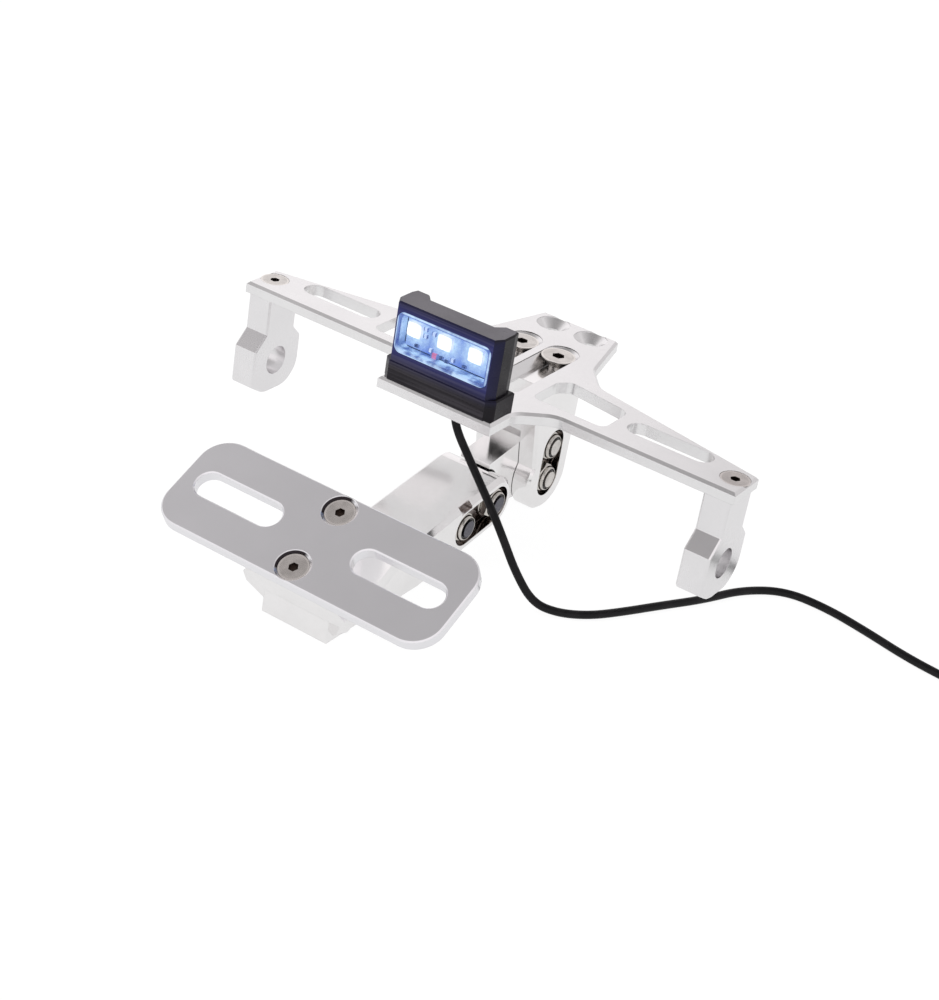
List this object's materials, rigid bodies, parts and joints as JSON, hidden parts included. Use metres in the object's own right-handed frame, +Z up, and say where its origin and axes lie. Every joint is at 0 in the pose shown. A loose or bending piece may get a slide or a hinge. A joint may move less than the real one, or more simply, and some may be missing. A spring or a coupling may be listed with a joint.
{
  "type": "license plate frame",
  "caption": "Milled plate frame for a motorbike's tail, with signal brackets, a plate lamp on its lead, and a sliding, tilting arm that carries the number plate.",
  "frame": {"origin": "middle of the frame's box without its lamp lead, at the level that it rests on", "axes": "+X along the wings to the right signal bracket, +Y from the lamp to the tail holes, +Z up, square to the top plate"},
  "size_m": [0.3096, 0.2, 0.086],
  "materials": {
    "bright_aluminium": "bright satin anodised",
    "polished_aluminium": "polished",
    "satin_aluminium": "satin, machined",
    "stainless_steel": "plain stainless",
    "lamp_black": "black, semi-gloss",
    "clear_lens": "clear",
    "white_board": "matt white",
    "white_light": "clear white",
    "lead_black": "matt black"
  },
  "bodies": {
    "frame": {"top_plate": "bright_aluminium", "signal_bracket_left": "satin_aluminium", "signal_bracket_right": "satin_aluminium", "wing_screw_left": "stainless_steel", "wing_screw_right": "stainless_steel", "lamp_base": "lamp_black", "lamp_housing": "lamp_black", "lamp_lens": "clear_lens", "lamp_board": "white_board", "led_left": "white_light", "led_middle": "white_light", "led_right": "white_light", "lamp_screw_left": "stainless_steel", "lamp_screw_right": "stainless_steel", "housing_screw_left": "stainless_steel", "housing_screw_right": "stainless_steel", "cable_grommet": "lead_black", "lamp_lead": "lead_black", "lead_coil": "lead_black", "coil_tie": "lead_black", "lead_connector": "lead_black"},
    "carriage": {"hinge_block": "polished_aluminium", "slide_screw_left": "stainless_steel", "slide_screw_right": "stainless_steel", "upper_pivot_bolt": "stainless_steel", "upper_pivot_nut": "stainless_steel", "upper_clamp_bolt": "stainless_steel", "upper_clamp_nut": "stainless_steel"},
    "link": {"hinge_link": "polished_aluminium"},
    "arm": {"arm": "polished_aluminium", "lower_pivot_bolt": "stainless_steel", "lower_pivot_nut": "stainless_steel", "lower_clamp_bolt": "stainless_steel", "lower_clamp_nut": "stainless_steel", "plate_carrier": "bright_aluminium", "carrier_screw_upper": "stainless_steel", "carrier_screw_lower": "stainless_steel"}
  },
  "joints": [
    {"name": "block_slide", "type": "slide", "parent": "frame", "child": "carriage", "axis": [0, 1, 0], "range_m": [-0.0335, 0.0025]},
    {"name": "link_tilt", "type": "hinge", "parent": "carriage", "child": "link", "pos_m": [0, 0.055, 0.0244], "axis": [-1, 0, 0], "range_deg": [-10, 10]},
    {"name": "arm_tilt", "type": "hinge", "parent": "link", "child": "arm", "pos_m": [0, 0.0212, 0.0141], "axis": [-1, 0, 0], "range_deg": [-12, 12]}
  ]
}
